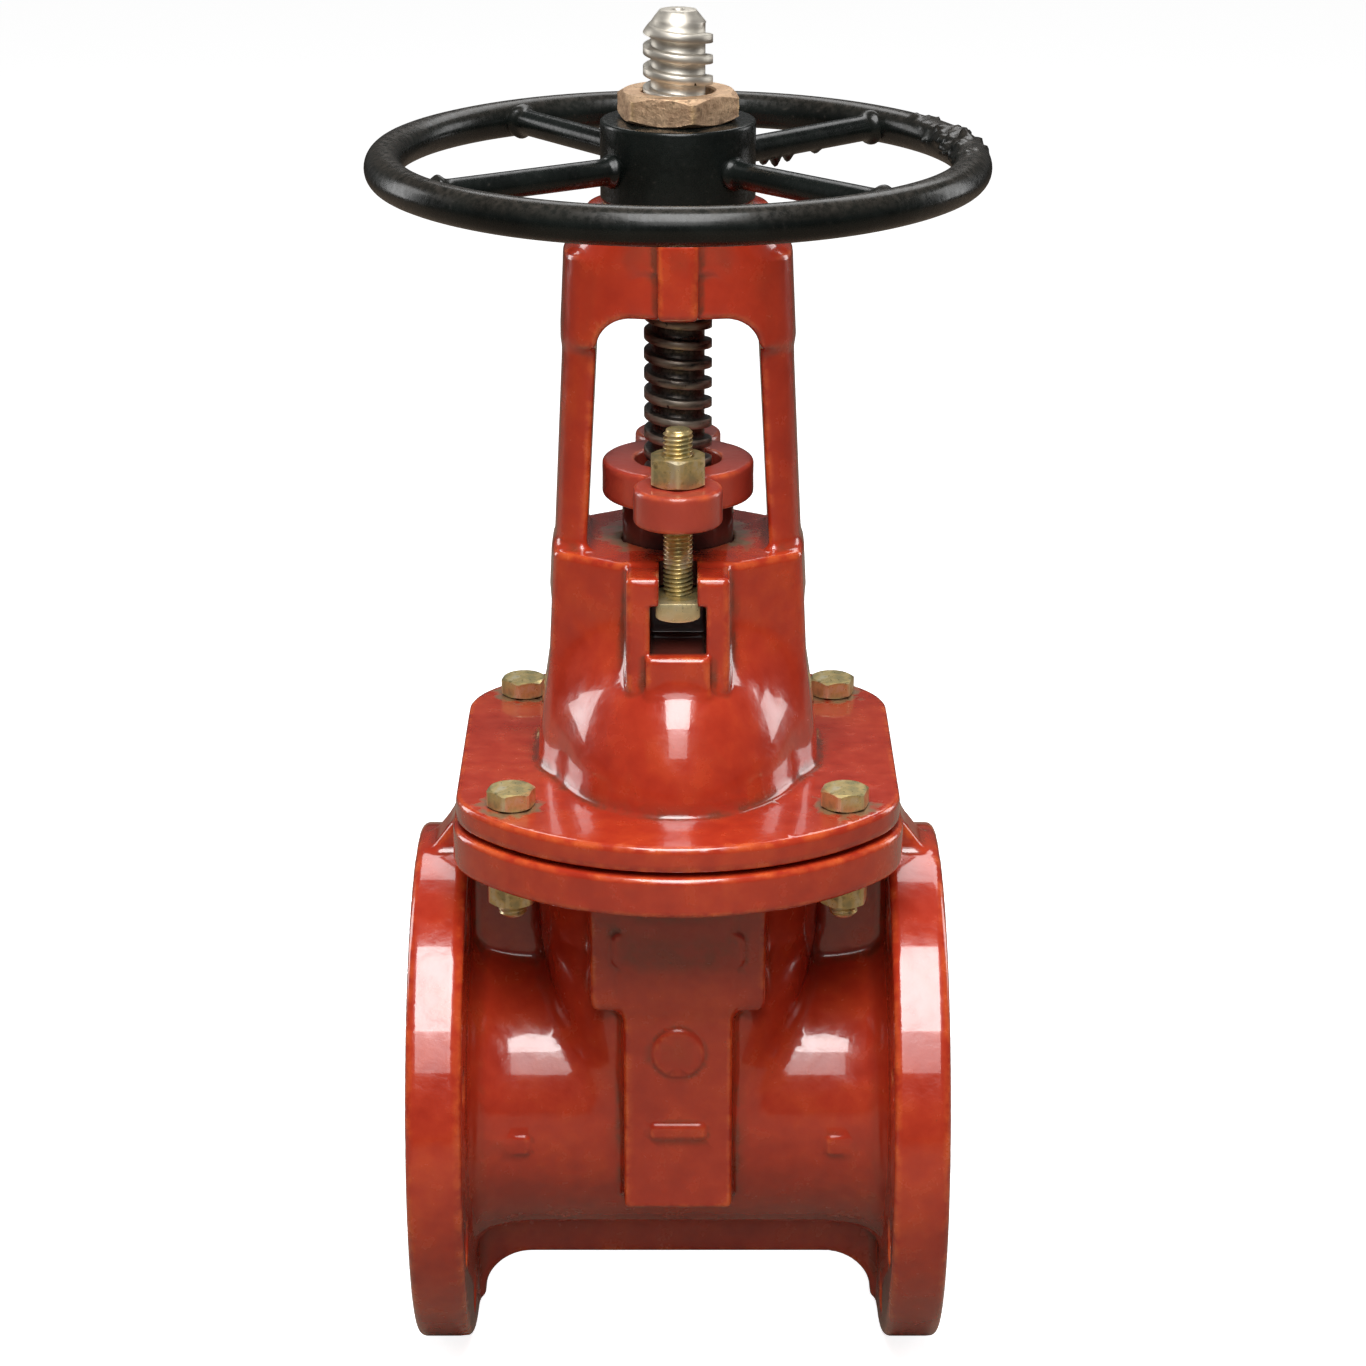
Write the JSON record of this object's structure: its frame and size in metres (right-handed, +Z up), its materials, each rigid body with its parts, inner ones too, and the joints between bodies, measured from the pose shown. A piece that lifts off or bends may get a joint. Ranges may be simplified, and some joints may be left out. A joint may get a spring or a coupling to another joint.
{
  "type": "gate valve",
  "caption": "Flanged outside-screw-and-yoke gate valve: a handwheel turns a nut that lifts a threaded stem and a rubber-faced wedge out of the waterway.",
  "frame": {"origin": "on the ground under the stem: the middle of the box round the whole valve, at the height of the lowest point of the two flange rims", "axes": "+X along the pipe, from the inlet flange to the outlet flange; +Z up the stem; -Y is the front. The pipe axis is 0.1143 m above the origin"},
  "size_m": [0.258, 0.258, 0.5911],
  "materials": {
    "red_enamel": "glossy enamel over sand-cast iron",
    "black_enamel": "semi-gloss enamel over welded steel",
    "stainless_steel": "turned, slightly warm grey",
    "bronze": "rough cast bronze, worn smooth on its edges",
    "yellow_zinc": "yellow zinc plate",
    "ductile_iron": "cast",
    "black_rubber": "moulded",
    "graphite_packing": "square braid",
    "gasket_sheet": "sheet"
  },
  "bodies": {
    "valve": {"valve_body": "red_enamel", "bonnet_yoke": "red_enamel", "bonnet_gasket": "gasket_sheet", "bonnet_bolt_1": "yellow_zinc", "bonnet_nut_1": "yellow_zinc", "bonnet_bolt_2": "yellow_zinc", "bonnet_nut_2": "yellow_zinc", "bonnet_bolt_3": "yellow_zinc", "bonnet_nut_3": "yellow_zinc", "bonnet_bolt_4": "yellow_zinc", "bonnet_nut_4": "yellow_zinc", "backseat_bushing": "bronze", "packing_ring_1": "graphite_packing", "packing_ring_2": "graphite_packing", "packing_ring_3": "graphite_packing", "packing_ring_4": "graphite_packing", "gland": "red_enamel", "gland_bolt_front": "yellow_zinc", "gland_nut_front": "yellow_zinc", "gland_bolt_back": "yellow_zinc", "gland_nut_back": "yellow_zinc"},
    "handwheel": {"yoke_nut": "bronze", "thrust_washer": "bronze", "wheel_key": "stainless_steel", "wheel_hub": "black_enamel", "wheel_rim": "black_enamel", "wheel_spoke_1": "black_enamel", "wheel_spoke_2": "black_enamel", "wheel_spoke_3": "black_enamel", "wheel_spoke_4": "black_enamel", "wheel_nut": "bronze"},
    "stem_and_wedge": {"wedge_core": "ductile_iron", "wedge_rubber": "black_rubber", "wedge_pin": "stainless_steel", "stem": "stainless_steel"}
  },
  "joints": [
    {"name": "handwheel_turn", "type": "hinge", "parent": "valve", "child": "handwheel", "pos_m": [0, 0, 0.528], "axis": [0, 0, 1], "range_deg": [0, 4680]},
    {"name": "stem_rise", "type": "slide", "parent": "valve", "child": "stem_and_wedge", "axis": [0, 0, 1], "range_m": [0, 0.1101]}
  ],
  "couplings": [
    {"joint": "stem_rise", "follows": "handwheel_turn", "m_per_rad": 0.0013475}
  ]
}
